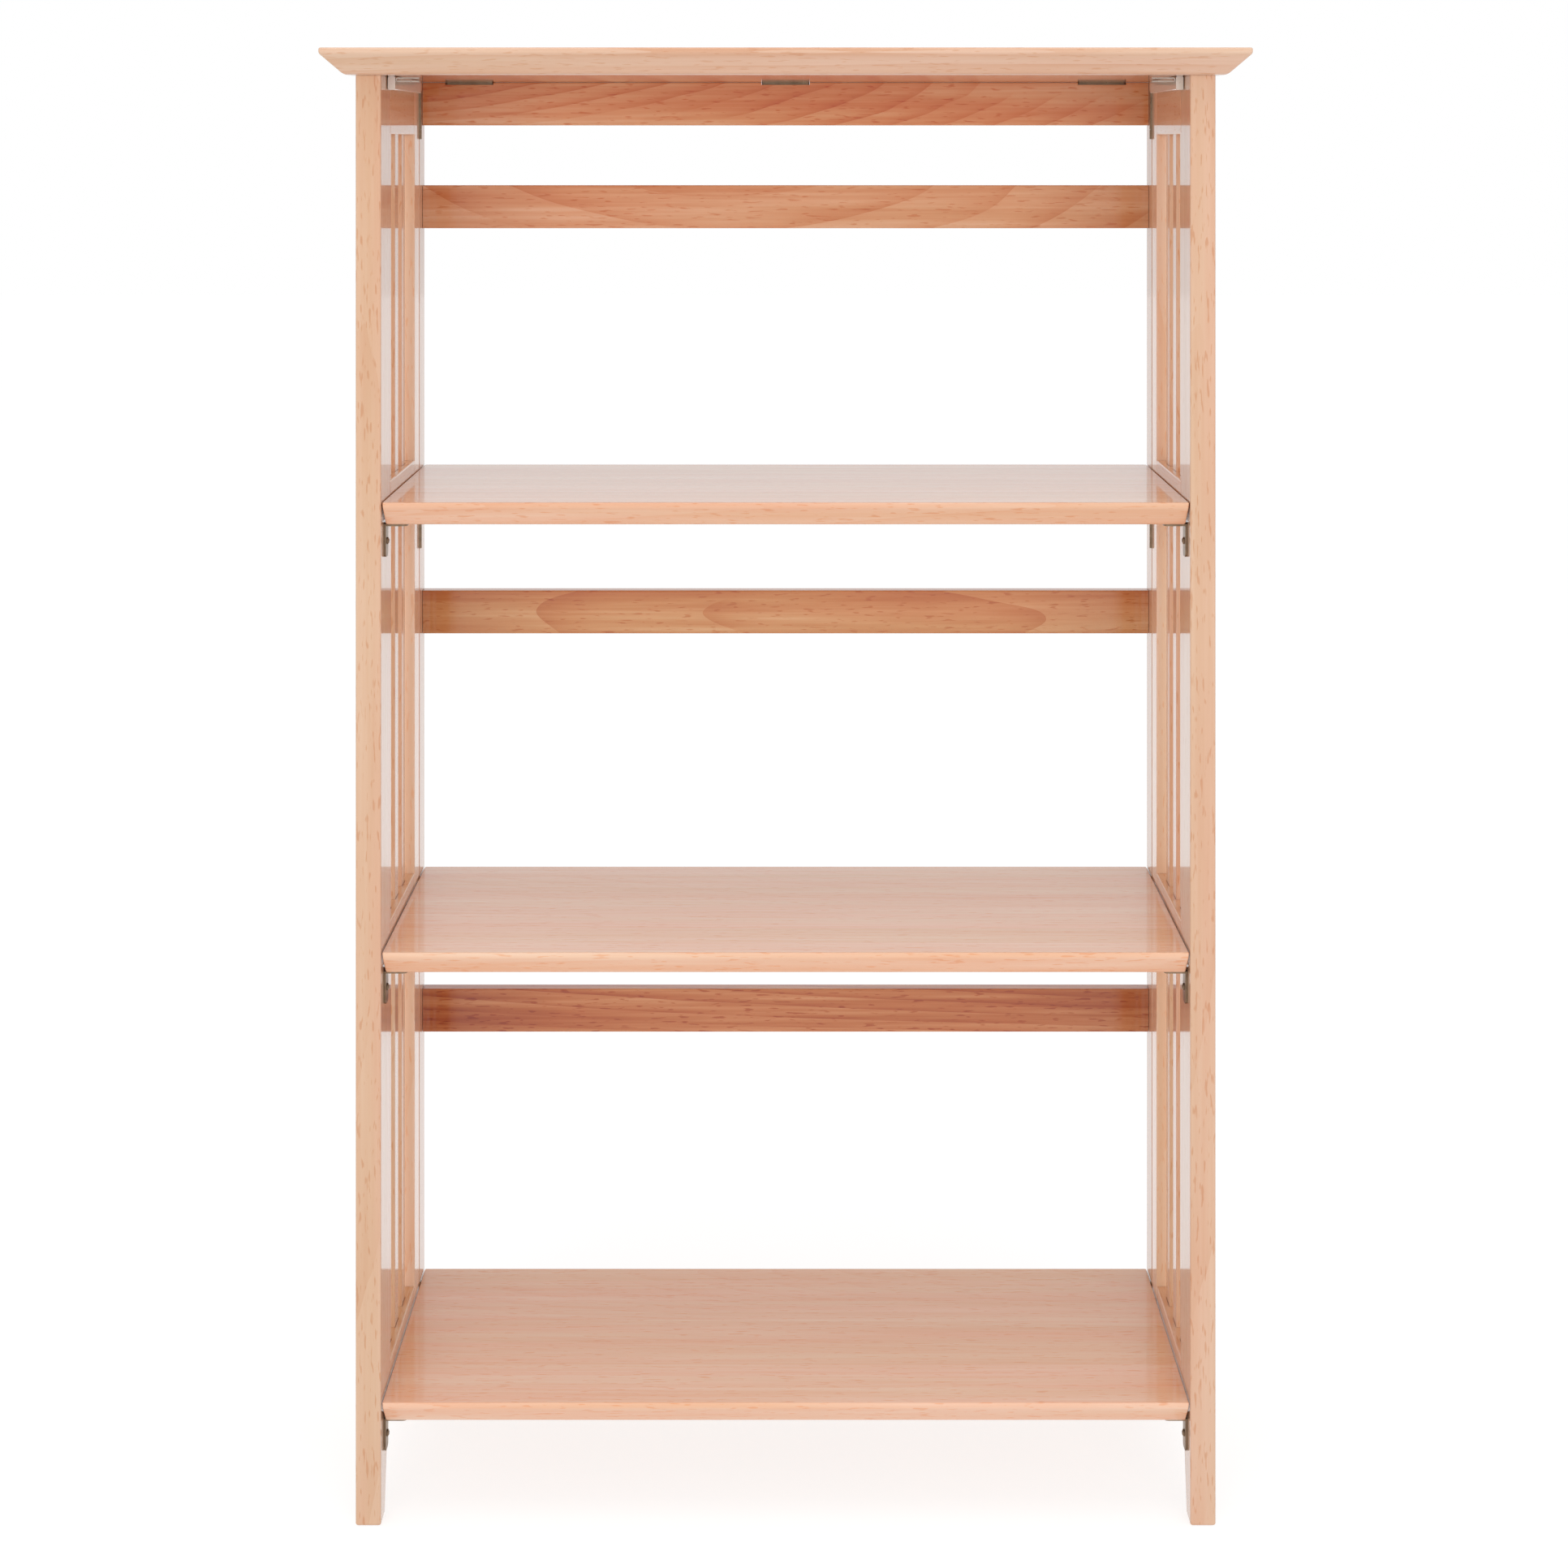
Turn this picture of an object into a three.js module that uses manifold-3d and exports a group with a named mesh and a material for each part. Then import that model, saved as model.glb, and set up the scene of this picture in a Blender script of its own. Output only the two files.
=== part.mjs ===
// Folding bookcase in light hardwood: three shelves and a lift-up top between two slatted side frames.
// The side frames hinge on a back frame of two posts and four rails. The shelves pivot on pins in the posts
// and rest on brackets at the front, so they turn up flat against the back rails before the sides fold in.
// Lengths are in millimetres: +X to the right, +Y to the back, +Z up. While the pieces are made, depths are
// measured from the front of the side frames, heights from the floor and widths from the middle.
import * as THREE from "three";
import { mergeVertices } from "three/addons/utils/BufferGeometryUtils.js";
import Module from "manifold-3d";

const wasm = await Module();
wasm.setup();

// Whole piece
const bodyWidth = 812;
const bodyDepth = 300;
const bottomShelfTop = 115.8;
const levelPitch = 425.2;
const upperBayRise = 428.9;
const levels = ["lower", "middle", "upper"];

// Clearances and edges
const glueGap = 0.3;
const cutOverrun = 5;
const boardEase = 1.5;

// Top board: a square rear edge, and a nose over an undercut bevel on the front and both ends
const topThickness = 25;
const topOverhang = 30;
const topNoseHeight = 5.5;
const topNoseEase = 2;
const topBevelRun = 20.5;
const topBevelEase = 4;

// Cleats under the top, just inside the side frames
const cleatThickness = 7.1;
const cleatHeight = 13;
const cleatSideGap = 0.9;
const cleatFront = 37;
const cleatLength = 178;
const cleatEase = 1.5;

// Side frames: stiles, cross rails and slats
const sideThickness = 24;
const frontStileDepth = 60;
const rearStileDepth = 33.6;
const sideRailHeight = 45.3;
const topSideRailHeight = 55.3;
const sideRailRise = 13;
const sideTenonThickness = 10;
const sideTenonLength = 15;
const sideTenonShoulder = 10;
const slatThickness = 11.5;
const slatWidth = 22;
const slatEase = 1.2;
const slatTenonLength = 12;
const slatCount = 3;

// Feet: the front stile narrows in a cove below the lowest rail, and the rear stile tapers
const footTopDepth = 45;
const footToeDepth = 24;
const footCoveShare = 0.9;
const toeEase = 3;
const rearToeDepth = 22;
const rearTaperEase = 12;

// Back frame: posts and rails. Each rail but the top one hangs a drop below the board above it.
const backRailThickness = 16;
const backRailHeight = 45.3;
const backRailDrop = 108.5;
const lowestBackRailDrop = 102.4;
const backTenonThickness = 8;
const backTenonLength = 12;
const backTenonShoulder = 6;

// Shelves
const shelfThickness = 22.5;
const shelfFrontGap = 1.5;
const shelfRearGap = 1;
const shelfSideGap = 0.8;
const shelfNoseHeight = 5;
const shelfNoseEase = 2;
const shelfBevelRun = 12.5;
const shelfBottomEase = 2;
const shelfEndUndercut = 1.7;
const shelfEndTopEase = 0.8;

// Shelf pivot pins
const pinRadius = 2.5;
const pinBoreRadius = 2.8;
const pinInShelf = 15;
const pinInPost = 12;
const pinDrop = 7;

// Angle brackets under the front corners of the shelves
const bracketThickness = 1.8;
const bracketHeight = 31.5;
const bracketReach = 22;
const bracketWidth = 15;
const bracketFront = 17.5;
const bracketRound = 4.5;
const bracketScrewDrop = 16.5;
const bracketScrewReach = 13.4;

// Hinges: parallel leaves on a five-knuckle barrel, each leaf drilled for its screws
const hingeLength = 50;
const leafThickness = 1;
const leafRound = 2;
const topLeafWidth = 17.5;
const sideLeafWidth = 20;
const barrelRadius = 2.4;
const hingePinRadius = 1.2;
const knuckleBoreRadius = 1.35;
const knuckleCount = 5;
const topHingeInset = 49.2;
const sideHingeDrop = 10;
const sideBarrelSet = 0.1;

// Screw holes in the hinge leaves and brackets
const screwHoleRadius = 1.9;
const screwEndDistance = 9;

// Facets
const easeSteps = 3;
const coveSteps = 8;
const roundSides = 14;
const holeSides = 8;

// Worked out from the sizes above
const innerHalf = bodyWidth / 2 - sideThickness;
const upperShelfTop = bottomShelfTop + (levels.length - 1) * levelPitch;
const overallHeight = upperShelfTop + upperBayRise;
const topUnderside = overallHeight - topThickness;
const frameTop = topUnderside - glueGap;
const hingeSeam = 2 * leafThickness + 3 * glueGap;
const shelfRear = bodyDepth - shelfRearGap;
const shelfHalf = innerHalf - shelfSideGap;
const backRailFront = bodyDepth - backRailThickness;
const pivotDepth = backRailFront - glueGap - pinDrop;
const postFront = pivotDepth + pinDrop - shelfThickness + 2 * glueGap;
const rearStileBack = postFront - hingeSeam;
const rearStileFront = rearStileBack - rearStileDepth;
const lowestRailBottom = bottomShelfTop + sideRailRise - sideRailHeight;
const topSideRailBottom = frameTop - topSideRailHeight;
const sideHingeDepth = postFront - hingeSeam / 2;
const sideHingeWidth = innerHalf - sideBarrelSet;
const topHingeDepth = bodyDepth + barrelRadius + glueGap;
const topHingeHeight = topUnderside - hingeSeam / 2;
const topHingePlaces = { left: topHingeInset - innerHalf, middle: 0, right: innerHalf - topHingeInset };
const rearmost = topHingeDepth + barrelRadius;

const shelfTopAt = (level) => bottomShelfTop + level * levelPitch;
const shelfBottomAt = (level) => shelfTopAt(level) - shelfThickness;

const paleWood = new THREE.MeshStandardMaterial({ color: 0xe6c3a7, roughness: 0.42, metalness: 0 });
const shelfWood = new THREE.MeshStandardMaterial({ color: 0xe0b69a, roughness: 0.36, metalness: 0 });
const railWood = new THREE.MeshStandardMaterial({ color: 0xcf9c7a, roughness: 0.4, metalness: 0 });
const steel = new THREE.MeshStandardMaterial({ color: 0x8f8172, roughness: 0.35, metalness: 1 });

// Closed outline through corners [x, y, ease]: each corner is softened by a curve that starts ease before it.
function outline(corners) {
  const points = corners.map(([x, y]) => new THREE.Vector2(x, y));
  const shape = new THREE.Shape();
  corners.forEach(([x, y, ease = 0], i) => {
    const before = points.at(i - 1).clone().sub(points[i]).setLength(ease).add(points[i]);
    const after = points[(i + 1) % points.length].clone().sub(points[i]).setLength(ease).add(points[i]);
    if (i === 0) shape.moveTo(before.x, before.y);
    else shape.lineTo(before.x, before.y);
    if (ease > 0) shape.quadraticCurveTo(x, y, after.x, after.y);
  });
  return shape;
}

// Rectangle between two corners, all four softened alike.
function rectangle([x0, x1], [y0, y1], ease) {
  return outline([
    [x0, y0, ease],
    [x1, y0, ease],
    [x1, y1, ease],
    [x0, y1, ease],
  ]);
}

// The shape pushed along +Z, with square rims.
function prism(shape, length, steps = easeSteps) {
  return new THREE.ExtrudeGeometry(shape, { depth: length, bevelEnabled: false, curveSegments: steps });
}

// The shape pushed along +Z, with both rims softened inside the outline.
function easedPrism(shape, length, ease, steps = easeSteps) {
  const settings = { depth: length - 2 * ease, curveSegments: steps, bevelSegments: 2 };
  Object.assign(settings, { bevelThickness: ease, bevelSize: ease, bevelOffset: -ease });
  return new THREE.ExtrudeGeometry(shape, settings).translate(0, 0, ease);
}

// Turns a prism so that its length runs along +X and its outline lies in Y and Z.
function alongX(geometry) {
  return geometry.rotateX(Math.PI / 2).rotateZ(Math.PI / 2);
}

// Turns a prism so that its length runs along +Y and its outline lies in X and Z.
function alongY(geometry, length) {
  return geometry.rotateX(Math.PI / 2).translate(0, length, 0);
}

function boxBetween([x0, x1], [y0, y1], [z0, z1]) {
  const box = new THREE.BoxGeometry(x1 - x0, y1 - y0, z1 - z0);
  return box.translate((x0 + x1) / 2, (y0 + y1) / 2, (z0 + z1) / 2);
}

// Cylinder along X from x0 to x1, centred on the X axis.
function rodAlongX(radius, x0, x1) {
  const rod = new THREE.CylinderGeometry(radius, radius, x1 - x0, roundSides);
  return rod.rotateZ(Math.PI / 2).translate((x0 + x1) / 2, 0, 0);
}

// Closed solid of a geometry, for joining and cutting.
function solidOf(geometry) {
  const loose = geometry.index ? geometry.toNonIndexed() : geometry;
  const bare = new THREE.BufferGeometry().setAttribute("position", loose.getAttribute("position"));
  const welded = mergeVertices(bare);
  const vertProperties = welded.getAttribute("position").array;
  const triVerts = new Uint32Array(welded.index.array);
  return new wasm.Manifold(new wasm.Mesh({ numProp: 3, vertProperties, triVerts }));
}

// Geometry of a solid, with flat faces.
function geometryOf(solid) {
  const { vertProperties, triVerts } = solid.getMesh();
  const shared = new THREE.BufferGeometry();
  shared.setAttribute("position", new THREE.BufferAttribute(vertProperties, 3));
  shared.setIndex(new THREE.BufferAttribute(triVerts, 1));
  const flat = shared.toNonIndexed();
  flat.computeVertexNormals();
  return flat;
}

// The blank with every cutter taken away.
function cut(blank, cutters) {
  const solid = cutters.reduce((left, cutter) => left.subtract(solidOf(cutter)), solidOf(blank));
  return geometryOf(solid);
}

function joined(geometries) {
  return geometries.map(solidOf).reduce((whole, solid) => whole.add(solid));
}

function addPiece(parent, name, geometry, material) {
  const mesh = new THREE.Mesh(geometry, material);
  mesh.name = name;
  parent.add(mesh);
  return mesh;
}

// Middle band of a thickness, as wide as size and widened by gap on both sides.
function middleBand(thickness, size, gap = 0) {
  return [(thickness - size) / 2 - gap, (thickness + size) / 2 + gap];
}

// Heights of the four cross rails of a side frame, lowest first. The slats run through the middle two.
const sideRails = [
  ...levels.map((name, level) => {
    const top = shelfTopAt(level) + sideRailRise;
    const bottom = top - sideRailHeight;
    return { name: name + "_side_rail", bottom, top, openBelow: level > 0, openAbove: true };
  }),
  { name: "top_side_rail", bottom: topSideRailBottom, top: frameTop, openBelow: true, openAbove: false },
];

// Undersides of the boards over the three bays, lowest first.
const bayTops = [shelfBottomAt(1), shelfBottomAt(2), topUnderside];

// Heights of the back rails, lowest first.
const backRails = [
  ...levels.map((name, level) => {
    const top = bayTops[level] - (level === 0 ? lowestBackRailDrop : backRailDrop);
    return { name: name + "_back_rail", bottom: top - backRailHeight, top };
  }),
  { name: "top_back_rail", bottom: frameTop - backRailHeight, top: frameTop },
];

// Middles of the three side hinges: below the middle shelf, the upper shelf and the top.
const sideHinges = ["middle", "upper", "top"].map((name, bay) => {
  return { name, middle: bayTops[bay] - sideHingeDrop - hingeLength / 2 };
});

// Depths of the slats' middles: the slats share the rail's length with equal gaps.
const railSpan = rearStileFront - frontStileDepth;
const slatGap = (railSpan - slatCount * slatWidth) / (slatCount + 1);
const slatDepths = Array.from({ length: slatCount }, (_, i) => {
  return frontStileDepth + slatGap * (i + 1) + slatWidth * (i + 1 / 2);
});

// Mortises in a stile for the tenons of the cross rails: from depth y0 to y1.
function sideMortises(y0, y1) {
  const across = middleBand(sideThickness, sideTenonThickness, glueGap);
  return sideRails.map(({ bottom, top }) => {
    const heights = [bottom + sideTenonShoulder - glueGap, top - sideTenonShoulder + glueGap];
    return boxBetween(across, [y0, y1], heights);
  });
}

// Round reliefs for the barrels of the side hinges, in a piece whose inner face is at x = 0.
function barrelReliefs() {
  const half = hingeLength / 2 + glueGap;
  return sideHinges.map(({ middle }) => {
    const relief = rodAlongX(barrelRadius + glueGap, -half, half).rotateY(Math.PI / 2);
    return relief.translate(-sideBarrelSet, sideHingeDepth, middle);
  });
}

// Front stile: straight above the lowest rail, then a cove into a slim foot.
function frontStile() {
  const profile = outline([
    [0, 0, toeEase],
    [footToeDepth, 0, toeEase],
    [footTopDepth, lowestRailBottom, (frontStileDepth - footTopDepth) * footCoveShare],
    [frontStileDepth, lowestRailBottom],
    [frontStileDepth, frameTop],
    [0, frameTop],
  ]);
  const blank = alongX(easedPrism(profile, sideThickness, boardEase, coveSteps));
  const mortiseEnd = frontStileDepth - sideTenonLength - glueGap;
  return cut(blank, sideMortises(mortiseEnd, frontStileDepth + cutOverrun));
}

// Rear stile: its foot tapers on the front, and the hinge leaves lie on its back.
function rearStile() {
  const profile = outline([
    [rearStileBack - rearToeDepth, 0, toeEase],
    [rearStileBack, 0, toeEase],
    [rearStileBack, frameTop],
    [rearStileFront, frameTop],
    [rearStileFront, lowestRailBottom, rearTaperEase],
  ]);
  const blank = alongX(easedPrism(profile, sideThickness, boardEase, coveSteps));
  const mortises = sideMortises(rearStileFront - cutOverrun, rearStileFront + sideTenonLength + glueGap);
  return cut(blank, [...mortises, ...barrelReliefs()]);
}

// Cross rail of a side frame: a board with a stub tenon at each end and a mortise for each slat.
function sideRail({ bottom, top, openBelow, openAbove }) {
  const front = frontStileDepth + glueGap;
  const length = railSpan - 2 * glueGap;
  const board = alongY(prism(rectangle([0, sideThickness], [bottom, top], boardEase), length), length);
  const tenon = boxBetween(
    middleBand(sideThickness, sideTenonThickness),
    [frontStileDepth - sideTenonLength, rearStileFront + sideTenonLength],
    [bottom + sideTenonShoulder, top - sideTenonShoulder],
  );
  const cutBottom = openBelow ? bottom - cutOverrun : top - slatTenonLength - glueGap;
  const cutTop = openAbove ? top + cutOverrun : bottom + slatTenonLength + glueGap;
  const mortises = slatDepths.map((depth) => {
    const across = middleBand(sideThickness, slatThickness, glueGap);
    const reach = slatWidth / 2 + glueGap;
    return solidOf(boxBetween(across, [depth - reach, depth + reach], [cutBottom, cutTop]));
  });
  const blank = joined([board.translate(0, front, 0), tenon]);
  return geometryOf(mortises.reduce((left, mortise) => left.subtract(mortise), blank));
}

// Slat: one long strip through the middle rails, let into the lowest and highest ones.
function slat() {
  const low = sideRails[0].top - slatTenonLength;
  const high = sideRails.at(-1).bottom + slatTenonLength;
  const half = slatWidth / 2;
  const section = rectangle(middleBand(sideThickness, slatThickness), [-half, half], slatEase);
  return prism(section, high - low).translate(0, 0, low);
}

// Cylinder that cuts a pin's hole in a piece, from x0 to x1 at the pivot of a shelf.
function pinBore(level, x0, x1) {
  return rodAlongX(pinBoreRadius, x0, x1).translate(0, pivotDepth, shelfTopAt(level) - pinDrop);
}

// Back post: mortises for the back rails, holes for the shelf pins and reliefs for the hinge barrels.
function backPost() {
  const section = rectangle([0, sideThickness], [postFront, bodyDepth], boardEase);
  const railMiddle = (backRailFront + bodyDepth) / 2;
  const reach = backTenonThickness / 2 + glueGap;
  const depths = [railMiddle - reach, railMiddle + reach];
  const mortises = backRails.map(({ bottom, top }) => {
    const heights = [bottom + backTenonShoulder - glueGap, top - backTenonShoulder + glueGap];
    return boxBetween([-cutOverrun, backTenonLength + glueGap], depths, heights);
  });
  const bores = levels.map((name, level) => pinBore(level, -cutOverrun, pinInPost + glueGap));
  return cut(prism(section, frameTop), [...mortises, ...bores, ...barrelReliefs()]);
}

// Notches in the top back rail for the closed leaves of the top's hinges.
function hingeNotches() {
  const half = hingeLength / 2 + glueGap;
  const depths = [backRailFront - cutOverrun, bodyDepth + cutOverrun];
  const heights = [topUnderside - hingeSeam, frameTop + cutOverrun];
  return Object.values(topHingePlaces).map((x) => solidOf(boxBetween([x - half, x + half], depths, heights)));
}

// Back rail between the posts, with a tenon at each end.
function backRail({ bottom, top }) {
  const half = innerHalf - glueGap;
  const board = alongX(prism(rectangle([backRailFront, bodyDepth], [bottom, top], boardEase), 2 * half));
  const railMiddle = (backRailFront + bodyDepth) / 2;
  const tenon = boxBetween(
    [-innerHalf - backTenonLength, innerHalf + backTenonLength],
    [railMiddle - backTenonThickness / 2, railMiddle + backTenonThickness / 2],
    [bottom + backTenonShoulder, top - backTenonShoulder],
  );
  const whole = joined([board.translate(-half, 0, 0), tenon]);
  const notches = top === frameTop ? hingeNotches() : [];
  return geometryOf(notches.reduce((left, notch) => left.subtract(notch), whole));
}

// A board shaped by two outlines: one of its front to back section, and one of its end to end section.
function shapedBoard(frontToBack, endToEnd, half, y0, y1) {
  const lengthways = alongX(prism(frontToBack, 2 * half)).translate(-half, 0, 0);
  const across = alongY(prism(endToEnd, y1 - y0), y1 - y0).translate(0, y0, 0);
  return solidOf(lengthways).intersect(solidOf(across));
}

function topBoard() {
  const half = bodyWidth / 2 + topOverhang;
  const noseBottom = overallHeight - topNoseHeight;
  const frontToBack = outline([
    [-topOverhang, noseBottom, topNoseEase],
    [topBevelRun - topOverhang, topUnderside, topBevelEase],
    [bodyDepth, topUnderside, boardEase],
    [bodyDepth, overallHeight, boardEase],
    [-topOverhang, overallHeight, topNoseEase],
  ]);
  const endToEnd = outline([
    [-half, noseBottom, topNoseEase],
    [topBevelRun - half, topUnderside, topBevelEase],
    [half - topBevelRun, topUnderside, topBevelEase],
    [half, noseBottom, topNoseEase],
    [half, overallHeight, topNoseEase],
    [-half, overallHeight, topNoseEase],
  ]);
  const front = -topOverhang - cutOverrun;
  return geometryOf(shapedBoard(frontToBack, endToEnd, half + cutOverrun, front, bodyDepth + cutOverrun));
}

function cleat() {
  const outer = innerHalf - cleatSideGap;
  const top = topUnderside - glueGap;
  const section = rectangle([outer - cleatThickness, outer], [top - cleatHeight, top], cleatEase);
  return alongY(prism(section, cleatLength), cleatLength).translate(0, cleatFront, 0);
}

// Shelf: a nose over an undercut bevel at the front, ends sloping in underneath, and a pin hole in each end.
function shelf(level) {
  const top = shelfTopAt(level);
  const bottom = top - shelfThickness;
  const frontToBack = outline([
    [shelfFrontGap, top, shelfNoseEase],
    [shelfFrontGap, top - shelfNoseHeight, shelfNoseEase],
    [shelfFrontGap + shelfBevelRun, bottom, shelfBottomEase],
    [shelfRear, bottom, boardEase],
    [shelfRear, top, boardEase],
  ]);
  const endToEnd = outline([
    [-shelfHalf, top, shelfEndTopEase],
    [shelfEndUndercut - shelfHalf, bottom, shelfBottomEase],
    [shelfHalf - shelfEndUndercut, bottom, shelfBottomEase],
    [shelfHalf, top, shelfEndTopEase],
  ]);
  const board = shapedBoard(frontToBack, endToEnd, shelfHalf + cutOverrun, -cutOverrun, bodyDepth);
  const inside = shelfHalf - pinInShelf - glueGap;
  const outside = shelfHalf + cutOverrun;
  const bored = [pinBore(level, inside, outside), pinBore(level, -outside, -inside)];
  return geometryOf(bored.reduce((left, bore) => left.subtract(solidOf(bore)), board));
}

function shelfPin(level) {
  const rod = rodAlongX(pinRadius, shelfHalf - pinInShelf, innerHalf + pinInPost);
  return rod.translate(0, pivotDepth, shelfTopAt(level) - pinDrop);
}

// Cylinder along Z that drills a screw hole through a plate at (x, y), from z0 to z1.
function screwHole(x, y, z0, z1) {
  const drill = new THREE.CylinderGeometry(screwHoleRadius, screwHoleRadius, z1 - z0, holeSides);
  return drill.rotateX(Math.PI / 2).translate(x, y, (z0 + z1) / 2);
}

// Angle bracket: a flange on the stile and a flange under the shelf, each with one screw hole.
function bracket(level) {
  const outer = innerHalf - glueGap;
  const top = shelfBottomAt(level) - glueGap;
  const back = bracketFront + bracketWidth;
  const upright = outline([
    [bracketFront, top - bracketHeight, bracketRound],
    [back, top - bracketHeight, bracketRound],
    [back, top],
    [bracketFront, top],
  ]);
  const flat = outline([
    [outer - bracketReach, bracketFront, bracketRound],
    [outer, bracketFront],
    [outer, back],
    [outer - bracketReach, back, bracketRound],
  ]);
  const uprightPlate = alongX(prism(upright, bracketThickness)).translate(outer - bracketThickness, 0, 0);
  const flatPlate = prism(flat, bracketThickness).translate(0, 0, top - bracketThickness);
  const middle = bracketFront + bracketWidth / 2;
  const flatHole = screwHole(outer - bracketScrewReach, middle, top - bracketHeight, top + cutOverrun);
  const sideHole = screwHole(0, 0, -cutOverrun, cutOverrun).rotateY(Math.PI / 2);
  sideHole.translate(outer, middle, top - bracketScrewDrop);
  const holes = [flatHole, sideHole].map(solidOf);
  return geometryOf(holes.reduce((left, hole) => left.subtract(hole), joined([uprightPlate, flatPlate])));
}

// One leaf of a hinge. The barrel lies on the X axis and the leaf reaches along +Y.
// The pinned leaf lies below the middle plane with the odd knuckles, the free one above with the even ones.
function hingeLeaf(width, pinned) {
  const knuckle = (hingeLength - (knuckleCount - 1) * glueGap) / knuckleCount;
  const low = pinned ? -glueGap / 2 - leafThickness : glueGap / 2;
  const half = hingeLength / 2;
  const rim = barrelRadius + glueGap;
  const plate = outline([
    [-half, rim],
    [half, rim],
    [half, width, leafRound],
    [-half, width, leafRound],
  ]);
  const pieces = [prism(plate, leafThickness).translate(0, 0, low)];
  for (let i = pinned ? 0 : 1; i < knuckleCount; i += 2) {
    const start = i * (knuckle + glueGap) - half;
    pieces.push(rodAlongX(barrelRadius, start, start + knuckle));
    pieces.push(boxBetween([start, start + knuckle], [0, rim + leafThickness], [low, low + leafThickness]));
  }
  const screwLine = (rim + width) / 2;
  const holes = [screwEndDistance - half, half - screwEndDistance].map((x) => {
    return solidOf(screwHole(x, screwLine, low - cutOverrun, low + cutOverrun));
  });
  const leaf = holes.reduce((left, hole) => left.subtract(hole), joined(pieces));
  const axle = (radius, end) => solidOf(rodAlongX(radius, -end, end));
  const finished = pinned
    ? leaf.add(axle(hingePinRadius, half))
    : leaf.subtract(axle(knuckleBoreRadius, half + cutOverrun));
  return geometryOf(finished);
}

function addTopHinges(parent) {
  for (const [name, x] of Object.entries(topHingePlaces)) {
    for (const [part, pinned] of [["rail_leaf", true], ["top_leaf", false]]) {
      const leaf = addPiece(parent, `${name}_lift_hinge_${part}`, hingeLeaf(topLeafWidth, pinned), steel);
      leaf.rotation.set(0, 0, Math.PI);
      leaf.position.set(x, topHingeDepth, topHingeHeight);
    }
  }
}

function addSideHinges(parent, side) {
  for (const { name, middle } of sideHinges) {
    for (const [part, pinned] of [["stile_leaf", true], ["post_leaf", false]]) {
      const node = `${side}_${name}_fold_hinge_${part}`;
      const leaf = addPiece(parent, node, hingeLeaf(sideLeafWidth, pinned), steel);
      leaf.rotation.set(-Math.PI / 2, 0, -Math.PI / 2);
      leaf.position.set(sideHingeWidth, sideHingeDepth, middle);
    }
  }
}

// Everything at one end of the bookcase, made for the right end. The left end is its mirror image.
function sideOf(side) {
  const end = new THREE.Group();
  const frame = new THREE.Group();
  frame.position.x = innerHalf;
  end.add(frame);
  addPiece(frame, `${side}_front_stile`, frontStile(), paleWood);
  addPiece(frame, `${side}_rear_stile`, rearStile(), paleWood);
  addPiece(frame, `${side}_back_post`, backPost(), paleWood);
  for (const rail of sideRails) addPiece(frame, `${side}_${rail.name}`, sideRail(rail), paleWood);
  slatDepths.forEach((depth, i) => {
    addPiece(frame, `${side}_slat_${i + 1}`, slat(), paleWood).position.y = depth;
  });
  addPiece(end, `${side}_cleat`, cleat(), railWood);
  levels.forEach((name, level) => {
    addPiece(end, `${side}_${name}_bracket`, bracket(level), steel);
    addPiece(end, `${side}_${name}_shelf_pin`, shelfPin(level), steel);
  });
  addSideHinges(end, side);
  end.scale.x = side === "left" ? -1 : 1;
  return end;
}

const bookcase = new THREE.Group();
bookcase.add(sideOf("left"), sideOf("right"));
for (const rail of backRails) addPiece(bookcase, rail.name, backRail(rail), railWood);
levels.forEach((name, level) => addPiece(bookcase, `${name}_shelf`, shelf(level), shelfWood));
addPiece(bookcase, "top_board", topBoard(), paleWood);
addTopHinges(bookcase);

// The origin lies on the floor, halfway between the front of the top and the back of its hinges.
bookcase.position.y = (topOverhang - rearmost) / 2;

export default bookcase;
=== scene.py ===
# A folding bookcase in pale rubberwood under a clear glossy lacquer, dressed in the order in which it is put
# together: back frame, side frames, hinges and brackets, shelves, and the lift-up top with its cleats.
# Everything is in metres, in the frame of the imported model: +X right, +Y back, +Z up, origin on the floor.
import math

import bmesh
import bpy
import numpy as np
from mathutils import Euler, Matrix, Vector


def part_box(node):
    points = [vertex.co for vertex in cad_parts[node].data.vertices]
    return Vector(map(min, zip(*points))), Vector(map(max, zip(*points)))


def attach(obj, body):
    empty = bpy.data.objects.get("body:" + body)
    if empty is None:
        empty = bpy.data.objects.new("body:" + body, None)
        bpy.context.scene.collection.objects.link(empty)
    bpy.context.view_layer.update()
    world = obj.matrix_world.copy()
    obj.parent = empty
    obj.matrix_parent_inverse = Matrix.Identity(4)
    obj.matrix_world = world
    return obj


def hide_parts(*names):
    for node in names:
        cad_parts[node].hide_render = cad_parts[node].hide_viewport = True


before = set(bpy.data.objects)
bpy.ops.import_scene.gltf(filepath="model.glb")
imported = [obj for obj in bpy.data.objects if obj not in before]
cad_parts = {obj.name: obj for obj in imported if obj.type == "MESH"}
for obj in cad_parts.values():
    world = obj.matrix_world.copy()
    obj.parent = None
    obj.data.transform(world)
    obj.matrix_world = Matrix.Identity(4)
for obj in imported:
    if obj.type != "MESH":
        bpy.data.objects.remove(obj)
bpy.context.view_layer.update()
MM = 0.001
SIDES = ("left", "right")
LEVELS = ("lower", "middle", "upper")
scene = bpy.context.scene

# Camera
# The camera stands level, a little below the height of the top, and its frame is shifted down to the floor,
# so that the uprights stay parallel. The vanishing point is where the shelf ends and side rails lead.
PHOTO_SIDE_PX = 1932
FOCAL_LENGTH_PX = 3237.4
VANISHING_POINT_PX = (968, 178)
EYE_HEIGHT = 1304.5 * MM
CAMERA_DISTANCE = 2480 * MM
SENSOR_WIDTH_MM = 36

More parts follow.
